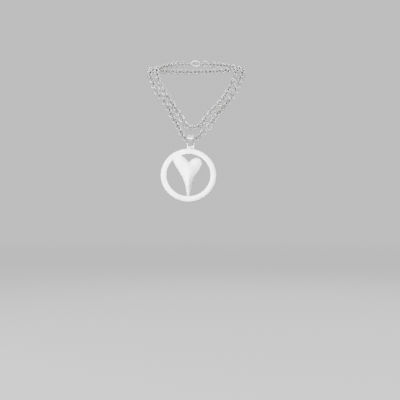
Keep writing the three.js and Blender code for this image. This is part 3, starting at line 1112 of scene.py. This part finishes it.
class NECKLACE_OT_clasp(bpy.types.Operator):
    """Makes the lobster clasp's body, its lever and its pin"""

    bl_idname = "necklace.clasp"
    bl_label = "Clasp"

    def execute(self, context):
        settings = context.scene.necklace_clasp
        long, wide = settings.half_long, settings.half_wide
        self.body(settings, long, wide)
        self.lever(settings, long - LEVER_INSET, wide - LEVER_INSET)
        px, _, pz = LEVER_PIVOT
        reach = settings.thick / 2 - 0.02
        path = [(px, reach * (k / 3 - 1), pz) for k in range(7)]
        pin = piece("lever_pin", wire(path, PIN_RADIUS, 0.4), CLASP_FRAME, "spring_steel")
        give(pin, "clasp", "pin_steel", "clasp_pin")
        return {"FINISHED"}

    def body(self, settings, long, wide):
        half, edge = settings.thick / 2, 0.5
        eye = math.degrees(math.asin(NECK_HALF / EYE_OUTER))
        join = at_x(0, long, NECK_X)
        outline = ellipse(0, long, wide, at_x(0, long, GATE[0]), join, 26)
        outline += arc((EYE_X, 0), EYE_OUTER, eye, 360 - eye, 36)
        last = 360 + at_x(0, long, GATE[1])
        outline += ellipse(0, long, wide, 360 - join, last, 64)
        middle, hole_long, hole_wide = HOLE
        first = at_x(middle, hole_long, GATE[1])
        inner_end = at_x(middle, hole_long, GATE[0]) - 360
        outline += ellipse(middle, hole_long, hole_wide, first, inner_end, 60)
        eye_hole = arc((EYE_X, 0), EYE_HOLE, 360, 0, 28)[:-1]

        def heights(points, gap):
            body = np.clip((points[:, 0] - EYE_END) / EYE_SLOPE, 0, 1)
            body = body * body * (3 - 2 * body)
            flat = EYE_THICK / 2 + (half - EYE_THICK / 2) * body - edge
            rise = flat + edge * rounded(gap, edge)
            return rise, rise

        shape = plate(spaced(outline, CLASP_GRID), [eye_hole], heights, edge, CLASP_GRID)
        whole = piece("clasp_whole", shape, CLASP_FRAME, "polished_silver")
        slot = settings.lever_thick / 2 + SLOT_PLAY
        corners = [(x, y, z) for x in SLOT_X for y in (-slot, slot) for z in SLOT_Z]
        sides = [(0, 1, 3, 2), (4, 6, 7, 5), (0, 4, 5, 1)]
        sides += [(2, 3, 7, 6), (0, 2, 6, 4), (1, 5, 7, 3)]
        cutter = piece("lever_slot", (corners, sides), CLASP_FRAME, "polished_silver")
        cut = whole.modifiers.new("Slot", "BOOLEAN")
        cut.operation = "DIFFERENCE"
        cut.solver = "EXACT"
        cut.object = cutter
        bpy.context.view_layer.update()
        graph = bpy.context.evaluated_depsgraph_get()
        mesh = bpy.data.meshes.new_from_object(whole.evaluated_get(graph))
        for spent in (whole, cutter):
            bpy.data.objects.remove(spent)
        made = add_object("lobster_body", mesh, "polished_silver")
        made.data.set_sharp_from_angle(angle=math.radians(40))
        give(made, "clasp", "fittings_polished", "clasp_body")

    def lever(self, settings, long, wide):
        half, edge = settings.lever_thick / 2, 0.22
        middle, hole_long, hole_wide = HOLE
        hole_long, hole_wide = hole_long + LEVER_INSET, hole_wide + LEVER_INSET
        px, _, pz = LEVER_PIVOT
        tip, tail, foot = GATE[1] - 0.3, px - 1.2, 1.3
        tab = (px + 0.6, TAB_HEIGHT)
        end = at_x(0, long, tab[0] + 0.7)
        outline = ellipse(0, long, wide, at_x(0, long, tip), end, 20)
        outline += arc(tab, TAB_RADIUS, -29, 228, 18)
        start = at_x(0, long, tab[0] - 0.6)
        outline += ellipse(0, long, wide, start, at_x(0, long, tail), 8)
        end = 180 - math.degrees(math.asin(foot / hole_wide))
        outline.append((tail, foot))
        start = at_x(middle, hole_long, tip)
        outline += ellipse(middle, hole_long, hole_wide, end, start, 26)
        hole = arc((px, pz), LEVER_HOLE, 360, 0, 16)[:-1]
        heights = even_sides(half, edge)
        shape = plate(spaced(outline, CLASP_GRID), [hole], heights, edge, CLASP_GRID)
        made = piece("lever_plate", shape, CLASP_FRAME, "polished_silver")
        give(made, "clasp_lever", "fittings_polished", "clasp_lever")


class NECKLACE_OT_rings(bpy.types.Operator):
    """Closes the jump ring and the end ring, each with its ends butted together"""

    bl_idname = "necklace.rings"
    bl_label = "Rings"

    def execute(self, context):
        radius = context.scene.necklace_clasp.wire
        for node, (middle, reach) in RINGS.items():
            # The ring lies in the XY plane, with its joint towards the nape.
            gap = math.degrees(RING_GAP / reach)
            turn = arc((middle, 0), reach, RING_JOINT + gap, RING_JOINT + 360 - gap, 64)
            path = [(x, y, 0) for x, y in turn]
            shape = wire(path, radius, 0.08, 16)
            made = piece(f"{node}_wire", shape, CLASP_FRAME, "polished_silver")
            give(made, "root", "fittings_polished", node)
        return {"FINISHED"}


# ---- Stage -----------------------------------------------------------------------------

EYE = Vector((5.2, -1058, -151.3))
VIEW_WIDTH = 440.0  # seen at VIEW_DISTANCE, in mm
VIEW_DISTANCE = 1000.0
FLOOR_Z, FLOOR_HALF = -330.0, 6000.0
AIM = Vector((-5, -60, -100))


# Name, place, width and height in mm, and power in watts. None reaches below the floor.
SOFTBOXES = (
    ("key", (-170, -900, 430), 600, 420, 7.5),
    ("front", (-40, -1500, -130), 260, 220, 1.1),
    ("top", (0, 0, 1300), 1600, 1600, 9),
    ("left", (-900, -350, 110), 450, 700, 12),
    ("right", (900, -350, 110), 350, 700, 7),
    ("back", (200, 800, 500), 700, 400, 5),
)


def softbox(name, place, width, height, watts):
    """An area light that faces the necklace."""
    light = bpy.data.lights.new(name, "AREA")
    light.shape = "RECTANGLE"
    light.size = width * MM
    light.size_y = height * MM
    light.energy = watts
    made = bpy.data.objects.new(name, light)
    made.location = Vector(place) * MM
    made.rotation_euler = (AIM - Vector(place)).to_track_quat("-Z", "Y").to_euler()
    bpy.context.scene.collection.objects.link(made)
    return made


def studio_world(pale):
    """A pale room to look at, and a room of darker walls for the metal to reflect."""
    world = bpy.data.worlds.new("studio")
    bpy.context.scene.world = world
    graph = fresh_graph(world)
    _, _, up = graph.axes(graph.node("ShaderNodeTexCoord", {}, "Generated"))
    low = graph.mix(up.ramp(-0.9, 0.0), rgba((0.4, 0.4, 0.4)), rgba((0.15, 0.15, 0.15)))
    wall = graph.mix(up.ramp(0.05, 0.9), low, rgba((0.8, 0.8, 0.81)))
    seen = graph.node("ShaderNodeLightPath", {}, "Is Camera Ray")
    tone = graph.mix(seen, wall, rgba(pale))
    surface = graph.node("ShaderNodeBackground", {"Color": tone, "Strength": 1.0})
    graph.node("ShaderNodeOutputWorld", {"Surface": surface})


def floor_material(finish, pale):
    """A pale matt floor that fades into the backdrop far away, as a paper sweep does.

    What the metal reflects of it is darker, as the walls of studio_world are.
    """
    made = bpy.data.materials.new("floor_pale")
    graph = fresh_graph(made)
    coords = {0: graph.node("ShaderNodeTexCoord", {}, "Object")}
    far = graph.node("ShaderNodeVectorMath", coords, "Value", operation="LENGTH")
    glossy = graph.node("ShaderNodeLightPath", {}, "Is Glossy Ray")
    tone = graph.mix(glossy, rgba(finish.floor), rgba(finish.floor, 0.6))
    paper = graph.node("ShaderNodeBsdfDiffuse", {"Color": tone})
    distant = graph.node("ShaderNodeEmission", {"Color": rgba(pale)})
    fade = far.ramp(0.3, 3.5, 0.5, 1.0) * (1.0 - glossy)
    surface = graph.node("ShaderNodeMixShader", {0: fade, 1: paper, 2: distant})
    graph.node("ShaderNodeOutputMaterial", {"Surface": surface})
    return made


class NECKLACE_OT_stage(bpy.types.Operator):
    """Sets the floor, the soft lights and the camera"""

    bl_idname = "necklace.stage"
    bl_label = "Stage"

    def execute(self, context):
        finish = context.scene.necklace_finish
        ways = ((-1, -1), (1, -1), (1, 1), (-1, 1))
        corners = [Vector((x * FLOOR_HALF, y * FLOOR_HALF, FLOOR_Z)) * MM for x, y in ways]
        mesh = bpy.data.meshes.new("floor")
        mesh.from_pydata(corners, [], [(0, 1, 2, 3)])
        backdrop = [c * 1.05 for c in finish.floor]
        mesh.materials.append(floor_material(finish, backdrop))
        floor = bpy.data.objects.new("floor", mesh)
        context.scene.collection.objects.link(floor)
        studio_world(backdrop)
        for light in SOFTBOXES:
            softbox(*light)
        lens = bpy.data.cameras.new("camera")
        lens.sensor_width = 36.0
        lens.lens = lens.sensor_width * VIEW_DISTANCE / VIEW_WIDTH
        lens.clip_end = 50
        camera = bpy.data.objects.new("camera", lens)
        camera.location = EYE * MM
        camera.rotation_euler = (math.pi / 2, 0, 0)
        context.scene.collection.objects.link(camera)
        context.scene.camera = camera
        return {"FINISHED"}


OPERATORS = (
    NECKLACE_OT_stage,
    NECKLACE_OT_chain,
    NECKLACE_OT_bail,
    NECKLACE_OT_stirrup,
    NECKLACE_OT_pendant_ring,
    NECKLACE_OT_heart,
    NECKLACE_OT_rings,
    NECKLACE_OT_clasp,
)


class NECKLACE_PT_panel(bpy.types.Panel):
    """The necklace's operators and settings in the sidebar"""

    bl_idname = "NECKLACE_PT_panel"
    bl_label = "Necklace"
    bl_space_type = "VIEW_3D"
    bl_region_type = "UI"
    bl_category = "Necklace"

    def draw(self, context):
        for operator in OPERATORS:
            self.layout.operator(operator.bl_idname)
        for name, group in GROUPS.items():
            box = self.layout.box()
            box.label(text=group.__doc__)
            for field in group.__annotations__:
                box.prop(getattr(context.scene, name), field)


def register():
    """Registers the classes and hangs the settings on the scene."""
    for group in (*GROUPS.values(), *OPERATORS, NECKLACE_PT_panel):
        bpy.utils.register_class(group)
    for name, group in GROUPS.items():
        setattr(bpy.types.Scene, name, PointerProperty(type=group))


def unregister():
    """Takes the settings and the classes away again."""
    for name in GROUPS:
        delattr(bpy.types.Scene, name)
    for group in reversed((*GROUPS.values(), *OPERATORS, NECKLACE_PT_panel)):
        bpy.utils.unregister_class(group)


def main():
    """Builds every piece."""
    register()
    for operator in OPERATORS:
        family, name = operator.bl_idname.split(".")
        getattr(getattr(bpy.ops, family), name)()


if __name__ == "__main__":
    main()
